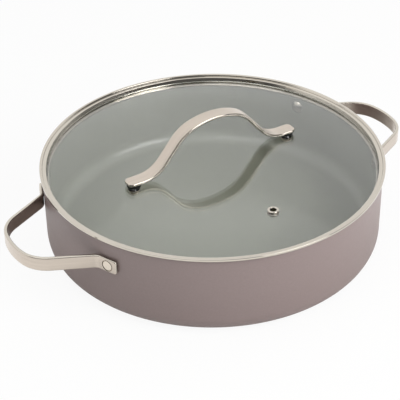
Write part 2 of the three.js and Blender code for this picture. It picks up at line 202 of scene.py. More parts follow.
class LidRingSettings(PropertyGroup):
    outer_radius: length("Outer radius", "Outside of the bead over the rim", high("lid_rim_ring").y)
    top: length("Top", "Top of the bead", high("lid_rim_ring").z)
    bottom: length("Bottom", "Lower edge of the skirt", low("lid_rim_ring").z)
    height: length("Height", "Height of the bead", 2.6 * MM)
    top_edge: length("Top edge", "Rounding of the outer edge on top", 0.4 * MM)
    lower_edge: length("Lower edge", "Rounding of the outer edge below", 1.2 * MM)
    top_land: length("Top land", "Flat along the top of the bead", 1 * MM)
    bead_round: length("Bead round", "Rounding of the bead's inner side", 0.9 * MM)
    bead_step: length("Bead step", "Height of the bead above the flange inside it", 1.4 * MM)
    bead_lean: length("Bead lean", "How far the bead's inner face leans in", 0.5 * MM)
    face_lean: length("Face lean", "How far the face from flange to glass leans in", 0.8 * MM)
    flange_edge: length("Flange edge", "Rounding of the flange's inner edge", 0.4 * MM)
    hem_height: length("Hem height", "Height of the skirt's turned-in edge", 1.8 * MM)
    hem_reach: length("Hem reach", "How far the skirt's edge is turned in", 1.6 * MM)
    hem_edge: length("Hem edge", "Rounding of the turned-in edge", 0.8 * MM)
    skirt_clearance: length("Skirt clearance", "Gap between skirt and wall", 0.5 * MM)
    sheet: length("Sheet", "Thickness of the rolled sheet", 0.6 * MM)
    small_edge: length("Small edge", "Rounding of the skirt's edges", 0.2 * MM)
    steel: colour("Steel", "Polished steel of ring, vent, strap edges and rivet domes", "b2aca2")


class LidGlassSettings(PropertyGroup):
    radius: length("Radius", "Edge of the glass", high("lid_glass").y)
    top: length("Top", "Level of the flat middle", high("lid_glass").z)
    thickness: length("Thickness", "Thickness of the glass", 4 * MM)
    rise: length("Rise", "Middle of the glass above its edge", 2.1 * MM)
    flat_margin: length("Flat margin", "Flat glass beyond the vent's washer", 4 * MM)
    grip: length("Grip", "How far the ring reaches over the edge", 0.7 * MM)
    clearance: length("Clearance", "Gap between glass and ring", 0.1 * MM)
    tint: colour("Tint", "Faint green of the glass", "fcfdfc")


class LidHandleSettings(PropertyGroup):
    top: length("Top", "Top of the strap at the crown", high("lid_handle").z)
    underside: length("Underside", "Underside of the feet", low("lid_handle").z)
    screw_spacing: length("Screw spacing", "Between the two screws", 151 * MM)
    screw_to_bend: length("Screw to bend", "From a screw to the bend", 6.4 * MM)
    screw_to_end: length("Screw to end", "From a screw to the end of the foot", 6.4 * MM)
    bend: length("Bend", "Radius from a foot into its leg", 28 * MM)
    splay: angle("Splay", "Lean of a leg to the crown", 40)
    shoulder: length("Shoulder", "Radius from a leg into the crown", 34 * MM)
    crown: angle("Crown angle", "Half the turn of the crown", 19)
    end_corner: length("End corner", "Radius of the corners of a foot", 4.2 * MM)


class FastenerSettings(PropertyGroup):
    boss_radius: length("Boss radius", "Radius of the threaded boss", 2.8 * MM)
    boss_top: length("Boss top", "Closed end of the boss", 0.8 * MM)
    shank_radius: length("Shank radius", "Radius of the screw", 2 * MM)
    thread_gap: length("Thread gap", "Gap between screw and boss", 0.15 * MM)
    head_radius: length("Head radius", "Radius of the screw's head", 3.6 * MM)
    head_dome: length("Head dome", "Rounding of the screw's head", 0.9 * MM)
    slot_length: length("Slot length", "Length of the cross slot", 4.4 * MM)
    slot_width: length("Slot width", "Width of the cross slot", 1 * MM)
    slot_depth: length("Slot depth", "Depth of the cross slot", 1.3 * MM)
    collar_wall: length("Collar wall", "Wall of the soft collar", 0.6 * MM)
    clearance: length("Clearance", "Gap between pieces of the stack", 0.2 * MM)
    edge: length("Edge", "Rounding of the steel pieces", 0.2 * MM)
    soft_edge: length("Soft edge", "Rounding of the soft washers", 0.45 * MM)
    silicone: colour("Silicone", "Black silicone of the washers", "141413")


class VentSettings(PropertyGroup):
    bore_radius: length("Bore radius", "Radius of the steam hole", 2.6 * MM)
    sheet: length("Sheet", "Wall of the eyelet's barrel", 0.8 * MM)
    lip_radius: length("Lip radius", "Outside of the lip rolled out below", 4.4 * MM)
    round: length("Round", "Rounding of the flange's top", 0.7 * MM)
    under_round: length("Under round", "Rounding under the flange's rim", 0.2 * MM)
    edge: length("Edge", "Rounding of the lip and washer", 0.2 * MM)
    clearance: length("Clearance", "Gap round the barrel", 0.2 * MM)


class StageSettings(PropertyGroup):
    azimuth: angle("Azimuth", "Turn of the camera round the pot; 0 looks along +Y", -31.888)
    elevation: angle("Elevation", "Camera's height above the horizon", 35.58)
    roll: angle("Roll", "Lean of the camera to one side", -0.89)
    distance: length("Distance", "From the middle of the base to the camera", 1116.7 * MM)
    aim: FloatVectorProperty(name="Aim", description="Point in the middle of the view", size=3,
                             default=(-9.2 * MM, 5.7 * MM, 30.9 * MM), subtype="TRANSLATION")
    focal: FloatProperty(name="Focal length", description="On a sensor 36 mm wide",
                         default=115.2, unit="CAMERA")
    floor_radius: length("Floor radius", "Size of the floor", 4.0)
    floor_gap: length("Floor gap", "Floor below the base", 0.2 * MM)
    floor_paint: colour("Floor paint", "White paint of the floor", "f4f4f2")
    floor_glow: share("Floor glow", "Share of plain white that the camera sees in the floor", 0.92)
    # The floor's brightness in mirrors is a painted reflection, a glow that only mirrors see. Shade near and
    # shade far fade that glow out round the pot by distance alone, a painted shade.
    floor_mirrored_glow: brightness("Floor mirrored", "Brightness of the floor in mirrors", 1.45)
    shade_near: length("Shade near", "Where the pot's shade on the floor starts to fade in mirrors", 0.175)
    shade_far: length("Shade far", "Where the pot's shade on the floor ends in mirrors", 0.215)
    sweep: brightness("Sweep", "Brightness of the white sweep behind the pot", 1.38)
    room: share("Room", "Brightness of the room on the camera's side", 0.15)
    dulled: share("Dulled", "Share of the sweep and room that lights dull surfaces", 0.45)
    sweep_turn: angle("Sweep turn", "Turn of the sweep's middle from straight behind, to the left", 25)
    sweep_dip: angle("Sweep dip", "How far the middle of the sweep lies under the horizon", 20)
    sweep_edge: angle("Sweep edge", "Where the sweep starts to fade, from its middle", 90)
    room_edge: angle("Room edge", "Where the fading ends, from the middle of the sweep", 114)


class CookingPotSettings(PropertyGroup):
    body: PointerProperty(type=PotBodySettings)
    plate: PointerProperty(type=BasePlateSettings)
    strap: PointerProperty(type=StrapSettings)
    side: PointerProperty(type=SideHandleSettings)
    rivet: PointerProperty(type=RivetSettings)
    ring: PointerProperty(type=LidRingSettings)
    glass: PointerProperty(type=LidGlassSettings)
    lid_handle: PointerProperty(type=LidHandleSettings)
    fastener: PointerProperty(type=FastenerSettings)
    vent: PointerProperty(type=VentSettings)
    stage: PointerProperty(type=StageSettings)


# Materials

def add_node(tree, kind, inputs=None, **settings):
    """Adds a node, sets its own settings, and fills its sockets with values or links."""
    made = tree.nodes.new(kind)
    for key, value in settings.items():
        setattr(made, key, value)
    for key, value in (inputs or {}).items():
        if isinstance(value, bpy.types.NodeSocket):
            tree.links.new(value, made.inputs[key])
        else:
            made.inputs[key].default_value = value
    return made


def made_once(build):
    """A material function that builds its material once, so that each finish has one colour."""
    def find_or_build(*colours):
        found = bpy.data.materials.get(build.__name__)
        if found:
            return found
        material = bpy.data.materials.new(build.__name__)
        material.use_nodes = True
        tree = material.node_tree
        tree.nodes.clear()
        shader = build(tree, *[(*c, 1.0) for c in colours])
        add_node(tree, "ShaderNodeOutputMaterial", {"Surface": shader.outputs[0]})
        return material
    return find_or_build


Relief = namedtuple("Relief", "strength depth")


def finished(tree, base, mottle, tones, texture, roughness, relief=None, **sockets):
    """A shader for a finish: one pattern shades its colour, and one sets its gloss and its relief.

    tones are the darkest and the palest share of the base colour, and roughness its least and most.
    """
    shade = add_node(tree, "ShaderNodeMapRange", {"Value": mottle, "To Min": tones[0], "To Max": tones[1]})
    tone = add_node(tree, "ShaderNodeHueSaturation", {"Color": base, "Value": shade.outputs[0]})
    sheen = add_node(tree, "ShaderNodeMapRange",
                     {"Value": texture, "To Min": roughness[0], "To Max": roughness[1]})
    sockets.update({"Base Color": tone.outputs[0], "Roughness": sheen.outputs[0]})
    if relief:
        bumps = add_node(tree, "ShaderNodeBump",
                         {"Height": texture, "Strength": relief.strength, "Distance": relief.depth})
        sockets["Normal"] = bumps.outputs[0]
    return add_node(tree, "ShaderNodeBsdfPrincipled", sockets)


@made_once
def satin_lacquer_sprayed(tree, lacquer):
    # Pigmented lacquer, sprayed on aluminium and baked. It gives a soft satin sheen, a faint
    # orange-peel ripple and a slight mottle of mica that catches the light.
    # The mica is finer than a pixel, so it is drawn at 1.6 mm, and the ripple at 4 mm.
    mica_size = 1.6 * MM
    ripple_size = 4 * MM
    place = add_node(tree, "ShaderNodeTexCoord").outputs["Object"]
    mica = add_node(tree, "ShaderNodeTexNoise", {"Vector": place, "Scale": 1 / mica_size, "Detail": 3.0})
    ripple = add_node(tree, "ShaderNodeTexNoise", {"Vector": place, "Scale": 1 / ripple_size})
    return finished(
        tree, lacquer,
        mottle=mica.outputs["Fac"], tones=(0.93, 1.07),
        texture=ripple.outputs["Fac"], roughness=(0.36, 0.46),
        relief=Relief(strength=0.12, depth=0.06 * MM),
        IOR=1.5,
    )


@made_once
def ceramic_coat_sprayed(tree, ceramic):
    # Sol-gel ceramic, sprayed on and fired. It is pale and smooth with a soft gloss, a slow ripple
    # and a scatter of slightly darker grit, drawn at 2 mm so that it shows.
    grit_size = 2 * MM
    ripple_size = 9 * MM
    place = add_node(tree, "ShaderNodeTexCoord").outputs["Object"]
    grit = add_node(tree, "ShaderNodeTexNoise", {"Vector": place, "Scale": 1 / grit_size, "Detail": 4.0})
    ripple = add_node(tree, "ShaderNodeTexNoise", {"Vector": place, "Scale": 1 / ripple_size})
    return finished(
        tree, ceramic,
        mottle=grit.outputs["Fac"], tones=(0.985, 1.015),
        texture=ripple.outputs["Fac"], roughness=(0.17, 0.22),
        relief=Relief(strength=0.05, depth=0.03 * MM),
        IOR=1.5,
    )


@made_once
def stainless_steel_brushed(tree, steel):
    # Stainless strip, ground lengthwise with a belt. The grit leaves long fine streaks that spread
    # reflections across the strap. They are under 0.1 mm wide and are drawn at 2.2 mm to show.
    streak_width = 2.2 * MM
    streak_length = 60 * MM
    strip = add_node(tree, "ShaderNodeUVMap", uv_map=STRAP_MAP).outputs[0]
    stretch = add_node(tree, "ShaderNodeMapping",
                       {"Vector": strip, "Scale": (1 / streak_length, 1 / streak_width, 1.0)})
    streaks = add_node(tree, "ShaderNodeTexNoise",
                       {"Vector": stretch.outputs[0], "Scale": 1.0, "Detail": 3.0, "Roughness": 0.6})
    return finished(
        tree, steel,
        mottle=streaks.outputs["Fac"], tones=(0.78, 1.18),
        texture=streaks.outputs["Fac"], roughness=(0.24, 0.4),
        relief=Relief(strength=0.15, depth=0.02 * MM),
        Metallic=1.0,
    )


@made_once
def stainless_steel_polished(tree, steel):
    # Stainless steel, rolled to shape and buffed bright. It mirrors its surroundings, with a faint
    # haze left by the buff, in patches some 6 mm wide.
    haze_size = 6 * MM
    place = add_node(tree, "ShaderNodeTexCoord").outputs["Object"]
    haze = add_node(tree, "ShaderNodeTexNoise", {"Vector": place, "Scale": 1 / haze_size, "Detail": 3.0})
    return finished(
        tree, steel,
        mottle=haze.outputs["Fac"], tones=(0.98, 1.02),
        texture=haze.outputs["Fac"], roughness=(0.06, 0.1),
        Metallic=1.0,
    )


@made_once
def stainless_steel_tumbled(tree, steel):
    # Small steel pieces, pressed cold and tumbled in a drum of grit. They come out satin, with
    # fine pits in no direction. The pits are under 0.1 mm wide and are drawn at 0.7 mm to show.
    pit_size = 0.7 * MM
    place = add_node(tree, "ShaderNodeTexCoord").outputs["Object"]
    pits = add_node(tree, "ShaderNodeTexNoise", {"Vector": place, "Scale": 1 / pit_size, "Detail": 2.0})
    return finished(
        tree, steel,
        mottle=pits.outputs["Fac"], tones=(0.94, 1.06),
        texture=pits.outputs["Fac"], roughness=(0.26, 0.42),
        relief=Relief(strength=0.15, depth=0.03 * MM),
        Metallic=1.0,
    )


@made_once
def stainless_steel_turned(tree, steel):
    # Ferritic steel plate, faced on a lathe. The tool leaves rings round the middle, which fan the
    # light out in a cross. Their pitch is about 0.2 mm, and they are drawn at 1.5 mm to show.
    ring_pitch = 1.5 * MM
    place = add_node(tree, "ShaderNodeTexCoord").outputs["Object"]
    rings = add_node(tree, "ShaderNodeTexWave", {
        "Vector": place,
        "Scale": WAVE_PITCH / ring_pitch,
        "Distortion": 0.3,
        "Detail": 2.0,
    }, wave_type="RINGS", rings_direction="Z")
    return finished(
        tree, steel,
        mottle=rings.outputs["Fac"], tones=(0.92, 1.04),
        texture=rings.outputs["Fac"], roughness=(0.24, 0.38),
        relief=Relief(strength=0.25, depth=0.04 * MM),
        Metallic=1.0,
    )


@made_once
def soda_lime_glass_tempered(tree, tint):
    # Float glass, bent slightly and tempered. It is clear with a faint green, mirrors the room at a
    # slant and has a slow ripple from the furnace rollers, about 30 mm long. Lamps shine through it.
    ripple_size = 30 * MM
    place = add_node(tree, "ShaderNodeTexCoord").outputs["Object"]
    ripple = add_node(tree, "ShaderNodeTexNoise", {"Vector": place, "Scale": 1 / ripple_size, "Detail": 0.0})
    relief = add_node(tree, "ShaderNodeBump",
                      {"Height": ripple.outputs["Fac"], "Strength": 0.04, "Distance": 0.02 * MM})
    body = add_node(tree, "ShaderNodeBsdfPrincipled", {
        "Base Color": tint,
        "Roughness": 0.0,
        "IOR": 1.52,
        "Transmission Weight": 1.0,
        "Normal": relief.outputs[0],
    })
    clear = add_node(tree, "ShaderNodeBsdfTransparent", {"Color": tint})
    path = add_node(tree, "ShaderNodeLightPath")
    return add_node(tree, "ShaderNodeMixShader", {
        0: path.outputs["Is Shadow Ray"],
        1: body.outputs[0],
        2: clear.outputs[0],
    })


@made_once
def silicone_rubber_moulded(tree, silicone):
    # Black silicone, moulded in a spark-eroded tool. It is matt and slightly greasy, with a fine
    # grain of about 0.1 mm, drawn at 0.6 mm to show.
    grain_size = 0.6 * MM
    place = add_node(tree, "ShaderNodeTexCoord").outputs["Object"]
    grain = add_node(tree, "ShaderNodeTexNoise", {"Vector": place, "Scale": 1 / grain_size, "Detail": 2.0})
    return finished(
        tree, silicone,
        mottle=grain.outputs["Fac"], tones=(0.8, 1.2),
        texture=grain.outputs["Fac"], roughness=(0.68, 0.86),
        relief=Relief(strength=0.2, depth=0.04 * MM),
        IOR=1.41,
    )


@made_once
def studio_floor_painted(tree, paint):
    # A matt white studio floor. The camera sees it lifted towards plain white, with the shadow kept.
    # In mirrors it glows brighter than white, a painted reflection that lights metal and coats like a lamp
    # would.
    # Close round the pot that glow fades out by distance alone, a painted shade, and mirrors see the lit
    # floor there.
    stage = bpy.context.scene.cooking_pot.stage
    dull = add_node(tree, "ShaderNodeBsdfDiffuse", {"Color": paint})
    plain = add_node(tree, "ShaderNodeEmission", {"Color": WHITE, "Strength": 1.0})
    # Painted reflection: a glow brighter than the white floor, seen only in mirrors
    mirrored = add_node(tree, "ShaderNodeEmission", {"Color": WHITE, "Strength": stage.floor_mirrored_glow})
    path = add_node(tree, "ShaderNodeLightPath")
    lifted = add_node(tree, "ShaderNodeMath",
                      {0: path.outputs["Is Camera Ray"], 1: stage.floor_glow}, operation="MULTIPLY")
    seen = add_node(tree, "ShaderNodeMixShader",
                    {0: lifted.outputs[0], 1: dull.outputs[0], 2: plain.outputs[0]})
    place = add_node(tree, "ShaderNodeTexCoord").outputs["Object"]
    out = add_node(tree, "ShaderNodeVectorMath", {0: place}, operation="LENGTH")
    # Painted shade in mirrors: the glow fades in with distance from the pot's axis, not from any cast shadow
    outside_painted_shade = add_node(tree, "ShaderNodeMapRange", {
        "Value": out.outputs["Value"],
        "From Min": stage.shade_near,
        "From Max": stage.shade_far,
    }, interpolation_type="SMOOTHSTEP")
    bright = add_node(tree, "ShaderNodeMath",
                      {0: path.outputs["Is Glossy Ray"], 1: outside_painted_shade.outputs[0]}, operation="MULTIPLY")
    return add_node(tree, "ShaderNodeMixShader",
                    {0: bright.outputs[0], 1: seen.outputs[0], 2: mirrored.outputs[0]})


# Mesh forms

def as_object(name, shape):
    """A bmesh as an object in the scene, with its faces turned outward."""
    bmesh.ops.recalc_face_normals(shape, faces=shape.faces)
    mesh = bpy.data.meshes.new(name)
    shape.to_mesh(mesh)
    shape.free()
    piece = bpy.data.objects.new(name, mesh)
    bpy.context.scene.collection.objects.link(piece)
    return piece


def smooth(piece):
    """Smooth shading that keeps flat faces flat and edges crisp."""
    piece.data.shade_smooth()
    piece.data.set_sharp_from_angle(angle=SHARP_ANGLE)
    weighted = piece.modifiers.new("weighted_normals", "WEIGHTED_NORMAL")
    weighted.keep_sharp = True


def arc(centre, radius, start, end, step=ARC_STEP):
    """Points of an arc about a centre (radius, height), between two angles."""
    steps = max(FEWEST_STEPS, math.ceil(abs(end - start) / step))
    turns = [start + (end - start) * i / steps for i in range(steps + 1)]
    return [(centre[0] + radius * math.cos(t), centre[1] + radius * math.sin(t)) for t in turns]


def rounded(corners):
    """An outline from corners (radius, height) or (radius, height, fillet), with the fillets drawn."""
    points = []
    for i, (x, y, *fillet) in enumerate(corners):
        if not fillet or not fillet[0]:
            points.append((x, y))
            continue
        here = Vector((x, y))
        to_before = (Vector(corners[i - 1][:2]) - here).normalized()
        to_after = (Vector(corners[(i + 1) % len(corners)][:2]) - here).normalized()
        half = to_before.angle(to_after) / 2
        inward = (to_before + to_after).normalized()
        centre = here + inward * fillet[0] / math.sin(half)
        outward = math.atan2(-inward.y, -inward.x)
        sweep = math.copysign(math.pi / 2 - half, -to_before.cross(to_after))
        points += arc(centre, fillet[0], outward - sweep, outward + sweep)
    return points


def turned(name, outline, segments, closed=False):
    """A piece turned about Z. Its outline of (radius, height) points runs anticlockwise."""
    shape = bmesh.new()
    rings = []
    for radius, height in outline:
        ring = []
        for i in range(segments if radius > ON_AXIS else 1):
            turn = math.tau * i / segments
            ring.append(shape.verts.new((radius * math.cos(turn), radius * math.sin(turn), height)))
        rings.append(ring)
    pairs = list(zip(rings, rings[1:]))
    if closed:
        pairs.append((rings[-1], rings[0]))
    for lower, upper in pairs:
        for i in range(segments):
            here, after = i, (i + 1) % segments
            corners = (
                lower[here % len(lower)],
                lower[after % len(lower)],
                upper[after % len(upper)],
                upper[here % len(upper)],
            )
            shape.faces.new(dict.fromkeys(corners))
    return as_object(name, shape)


def flat_ring(node, made, bore, edge):
    """A washer as wide and as thick as its solid, its outer edges rounded. made ends its name."""
    outer = half_size(node).y
    bottom = low(node).z
    top = high(node).z
    outline = rounded([(bore, bottom), (outer, bottom, edge), (outer, top, edge), (bore, top)])
    return turned(f"{node}_{made}", outline, SMALL_SEGMENTS, closed=True)


def cut_away(piece, cutters):
    """Cuts each cutter out of a piece, and removes the cutters."""
    for cutter in cutters:
        cut = piece.modifiers.new(cutter.name, "BOOLEAN")
        cut.operation = "DIFFERENCE"
        cut.solver = "EXACT"
        cut.object = cutter
    bpy.context.view_layer.update()
    shaped = piece.evaluated_get(bpy.context.evaluated_depsgraph_get())
    plain = piece.data
    piece.data = bpy.data.meshes.new_from_object(shaped)
    piece.data.name = piece.name
    piece.modifiers.clear()
    bpy.data.meshes.remove(plain)
    for cutter in cutters:
        mesh = cutter.data
        bpy.data.objects.remove(cutter)
        bpy.data.meshes.remove(mesh)


def stand_for(piece, node, body, materials, slot_of=None):
    """Finishes a piece and puts it in place of a solid, on that solid's body."""
    for material in materials:
        piece.data.materials.append(material)
    if slot_of:
        for face in piece.data.polygons:
            face.material_index = slot_of(face)
    smooth(piece)
    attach(piece, body)
    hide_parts(node)


Station = namedtuple("Station", "u v heading from_end")
Bow = namedtuple("Bow", "reach bend splay corner crown")


def half_bow(foot_at, foot_length, end_corner, bow):
    """Half of a bent strap in its own plane, from the end of its foot to the crown of its bow.

    A station has its place u, out through the crown, and v, across it, its heading and its distance
    from the end of the foot. The leg's length and the crown's radius follow from the reach.
    """
    stations = []
    for i in range(END_STEPS):
        from_end = end_corner * (1 - math.cos(math.pi / 2 * i / END_STEPS))
        stations.append(Station(*foot_at(foot_length - from_end), from_end))
    for i in range(FOOT_STEPS + 1):
        from_end = end_corner + (foot_length - end_corner) * i / FOOT_STEPS
        stations.append(Station(*foot_at(foot_length - from_end), from_end))

    def turn_to(radius, heading):
        start = stations[-1]
        side = 1 if heading > start.heading else -1
        steps = max(FEWEST_STEPS, math.ceil(abs(heading - start.heading) / BEND_STEP))
        for i in range(1, steps + 1):
            now = start.heading + (heading - start.heading) * i / steps
            u = start.u + side * radius * (math.sin(now) - math.sin(start.heading))
            v = start.v - side * radius * (math.cos(now) - math.cos(start.heading))
            stations.append(Station(u, v, now, math.inf))

    turn_to(bow.bend, -bow.splay)
    start = stations[-1]
    reach_left = bow.reach - start.u - bow.corner * (math.cos(bow.crown) - math.sin(bow.splay))
    across_left = start.v - bow.corner * (math.cos(bow.splay) - math.sin(bow.crown))
    crown_reach = 1 - math.cos(bow.crown)
    spread = math.cos(bow.splay) * math.sin(bow.crown) - math.sin(bow.splay) * crown_reach
    leg = (reach_left * math.sin(bow.crown) - across_left * crown_reach) / spread
    crown_radius = (across_left * math.cos(bow.splay) - reach_left * math.sin(bow.splay)) / spread
    stations.append(Station(start.u + leg * math.cos(bow.splay), start.v - leg * math.sin(bow.splay),
                            -bow.splay, math.inf))
    turn_to(bow.corner, bow.crown - math.pi / 2)
    turn_to(crown_radius, -math.pi / 2)
    return stations


def strap_section(strap, end_corner, from_end):
    """The strap's section as (across, through) points, anticlockwise, drawn in at the end of a foot."""
    inset = max(0.0, end_corner - from_end)
    half_width = strap.width / 2 - end_corner + math.sqrt(end_corner ** 2 - inset ** 2)
    thinning = max(0.0, strap.edge - from_end)
    half_thick = strap.thickness / 2 - strap.edge + math.sqrt(strap.edge ** 2 - thinning ** 2)
    edge = min(strap.edge, half_width, half_thick) * EDGE_SHARE
    across = half_width - edge
    through = half_thick - edge
    quarter = math.pi / 2
    centres = [(across, through), (-across, through), (-across, -through), (across, -through)]
    points = []
    for number, centre in enumerate(centres):
        points += arc(centre, edge, number * quarter, (number + 1) * quarter, STRAP_EDGE_STEP)
    return points


def bent_strap(name, strap, end_corner, half, in_space):
    """A whole strap handle: half a bow and its mirror image. in_space turns (u, v, across) to X, Y, Z.

    The long faces take slot 0 and the narrow edges slot 1. The strap map runs along and round it.
    """
    mirrored = [Station(s.u, -s.v, -math.pi - s.heading, s.from_end) for s in reversed(half[:-1])]
    stations = [*half, *mirrored]
    shape = bmesh.new()
    strap_map = shape.loops.layers.uv.new(STRAP_MAP)
    rings = []
    along = 0.0
    for number, here in enumerate(stations):
        before = stations[max(0, number - 1)]
        along += math.hypot(here.u - before.u, here.v - before.v)
        ring = []
        for across, through in strap_section(strap, end_corner, here.from_end):
            u = here.u - through * math.sin(here.heading)
            v = here.v + through * math.cos(here.heading)
            flat = across + (strap.width if through > 0 else 0.0)
            ring.append((shape.verts.new(in_space(u, v, across)), (along, flat), through))
        rings.append(ring)

    def add_face(corners, slot):
        face = shape.faces.new([vertex for vertex, _, _ in corners])
        face.material_index = slot
        for loop, (_, place, _) in zip(face.loops, corners):
            loop[strap_map].uv = place

    narrow = strap.thickness / 2 - strap.edge * BRUSHED_SHARE
    for ring, following in zip(rings, rings[1:]):
        for j in range(len(ring)):
            k = (j + 1) % len(ring)
            corners = (ring[j], following[j], following[k], ring[k])
            add_face(corners, int(min(abs(through) for _, _, through in corners) < narrow))
    for ring in (rings[0], rings[-1]):
        add_face(ring, 1)
    return as_object(name, shape)


def strap_steels(pot):
    """The finishes of a strap handle: its wide faces brushed, its narrow edges polished."""
    return [stainless_steel_brushed(pot.strap.steel), stainless_steel_polished(pot.ring.steel)]


# Pieces of the pot

def rivet_angle(pot):
    """Turn from the middle of a side handle to one of its rivets."""
    return math.asin(pot.rivet.spacing / 2 / pot.body.outer_radius)


def foot_face(pot):
    """Radius of the outer face of a side handle's feet."""
    return pot.body.outer_radius + pot.side.seat_gap + pot.strap.thickness


def along_radius(pot, turn):
    """Lays what is turned about Z out along the radius at that angle, at the rivets' level."""
    lift = Matrix.Translation((0, 0, pot.side.level))
    return lift @ Matrix.Rotation(turn, 4, "Z") @ Matrix.Rotation(math.pi / 2, 4, "Y")


def rivet_hole(pot, turn):
    """A cutter for a rivet's hole through wall and foot, and for the recess of its head."""
    rivet = pot.rivet
    start = pot.body.outer_radius - pot.body.wall - CUT_MARGIN
    end = foot_face(pot) + CUT_MARGIN
    recess = foot_face(pot) - rivet.head_thickness - rivet.seat_gap
    hole = rivet.shank_radius + rivet.hole_clearance
    wide = rivet.head_radius + rivet.groove
    outline = [(0, start), (hole, start), (hole, recess), (wide, recess), (wide, end), (0, end)]
    cutter = turned("rivet_hole", outline, SMALL_SEGMENTS)
    cutter.data.transform(along_radius(pot, turn))
    return cutter


class POT_OT_body(Operator):
    """Builds the pot's body, lacquered outside and ceramic-coated inside"""

    bl_idname = "cooking_pot.body"
    bl_label = "Pot Body"

    def execute(self, context):
        pot = context.scene.cooking_pot
        body = pot.body
        inner = body.outer_radius - body.wall
        recess = pot.plate.radius + body.recess_gap
        foot_top = pot.side.level + pot.strap.width / 2
        foot_bottom = pot.side.level - pot.strap.width / 2
        outline = rounded([
            (0, pot.plate.thickness),
            (recess, pot.plate.thickness),
            (recess, 0, body.recess_edge),
            (body.outer_radius, 0, body.base_corner),
            (body.outer_radius, foot_bottom),
            (body.outer_radius, foot_top),
            (body.outer_radius, body.height, body.rim_edge),
            (inner, body.height, body.rim_edge),
            (inner, foot_top),
            (inner, foot_bottom),
            (inner, body.floor, body.floor_fillet),
            (0, body.floor),
        ])
        piece = turned("pot_body_coated", outline, LARGE_SEGMENTS)
        turn = rivet_angle(pot)
        cut_away(piece, [rivet_hole(pot, t) for t in (turn, -turn, math.pi - turn, math.pi + turn)])

        def coat(face):
            """Slot 1, the ceramic, for faces that look into the pot, 0 for the rest."""
            inward = -face.center.to_2d().normalized()
            faces_in = face.normal.z + face.normal.to_2d().dot(inward) > 0
            return int(faces_in and face.center.z > body.floor / 2)

        materials = [satin_lacquer_sprayed(body.lacquer), ceramic_coat_sprayed(body.ceramic)]
        stand_for(piece, "pot_body", "pot", materials, coat)
        return {"FINISHED"}


class POT_OT_base_plate(Operator):
    """Builds the steel plate in the base"""

    bl_idname = "cooking_pot.base_plate"
    bl_label = "Base Plate"

    def execute(self, context):
        plate = context.scene.cooking_pot.plate
        outline = rounded([
            (0, 0),
            (plate.radius, 0, plate.edge),
            (plate.radius, plate.thickness),
            (0, plate.thickness),
        ])
        piece = turned("base_plate_turned", outline, LARGE_SEGMENTS)
        stand_for(piece, "induction_base_plate", "pot", [stainless_steel_turned(plate.steel)])
        return {"FINISHED"}


class POT_OT_side_handles(Operator):
    """Bends the two side handles and cuts the recesses of their rivets"""

    bl_idname = "cooking_pot.side_handles"
    bl_label = "Side Handles"

    def execute(self, context):
        pot = context.scene.cooking_pot
        strap = pot.strap
        side = pot.side
        foot_radius = foot_face(pot) - strap.thickness / 2
        turn = rivet_angle(pot)
        knee = turn - pot.rivet.to_bend / foot_radius

        def foot_at(distance):
            at = knee + distance / foot_radius
            return foot_radius * math.cos(at), foot_radius * math.sin(at), at - math.pi / 2

        def in_space(u, v, across):
            return u, v, side.level + across

        bow = Bow(side.out - strap.thickness / 2, side.bend, side.splay, side.corner, side.nose)
        half = half_bow(foot_at, pot.rivet.to_bend + pot.rivet.to_end, side.end_corner, bow)
        for name, about in (("right", 0.0), ("left", math.pi)):
            piece = bent_strap(f"{name}_side_handle_brushed", strap, side.end_corner, half, in_space)
            cut_away(piece, [rivet_hole(pot, turn), rivet_hole(pot, -turn)])
            piece.data.transform(Matrix.Rotation(about, 4, "Z"))
            stand_for(piece, f"{name}_side_handle", "pot", strap_steels(pot))
        return {"FINISHED"}


class POT_OT_rivets(Operator):
    """Sets the four rivets, flush and satin outside, domed and bright inside the pot"""

    bl_idname = "cooking_pot.rivets"
    bl_label = "Rivets"

    def execute(self, context):
        pot = context.scene.cooking_pot
        rivet = pot.rivet
        dome_face = pot.body.outer_radius - pot.body.wall - rivet.dome_gap
        bulge = (rivet.dome_radius ** 2 + rivet.dome_height ** 2) / (2 * rivet.dome_height)
        spread = math.asin(rivet.dome_radius / bulge)
        down = -math.pi / 2
        centre = (0, dome_face - rivet.dome_height + bulge)
        head = foot_face(pot) - rivet.head_thickness
        outline = [
            *arc(centre, bulge, down, down + spread),
            *rounded([
                (rivet.shank_radius, dome_face),
                (rivet.shank_radius, head),
                (rivet.head_radius, head),
                (rivet.head_radius, foot_face(pot), rivet.head_edge),
                (0, foot_face(pot)),
            ]),
        ]
        turn = rivet_angle(pot)
        places = {
            "right_handle_rivet_1": -turn,
            "right_handle_rivet_2": turn,
            "left_handle_rivet_1": math.pi - turn,
            "left_handle_rivet_2": math.pi + turn,
        }
        materials = [stainless_steel_tumbled(rivet.steel), stainless_steel_polished(pot.ring.steel)]
        for node, at in places.items():
            piece = turned(f"{node}_set", outline, SMALL_SEGMENTS)
            piece.data.transform(along_radius(pot, at))
            out = Vector((math.cos(at), math.sin(at), 0))

            def bright(face):
                """Slot 1 for the dome in the pot, 0 for the rest."""
                faces_in = face.normal.dot(out) < 0
                return int(faces_in and face.center.dot(out) < dome_face + rivet.dome_gap)

            stand_for(piece, node, "pot", materials, bright)
        return {"FINISHED"}


# Pieces of the lid

def glass_bottom(pot):
    return pot.glass.top - pot.glass.thickness


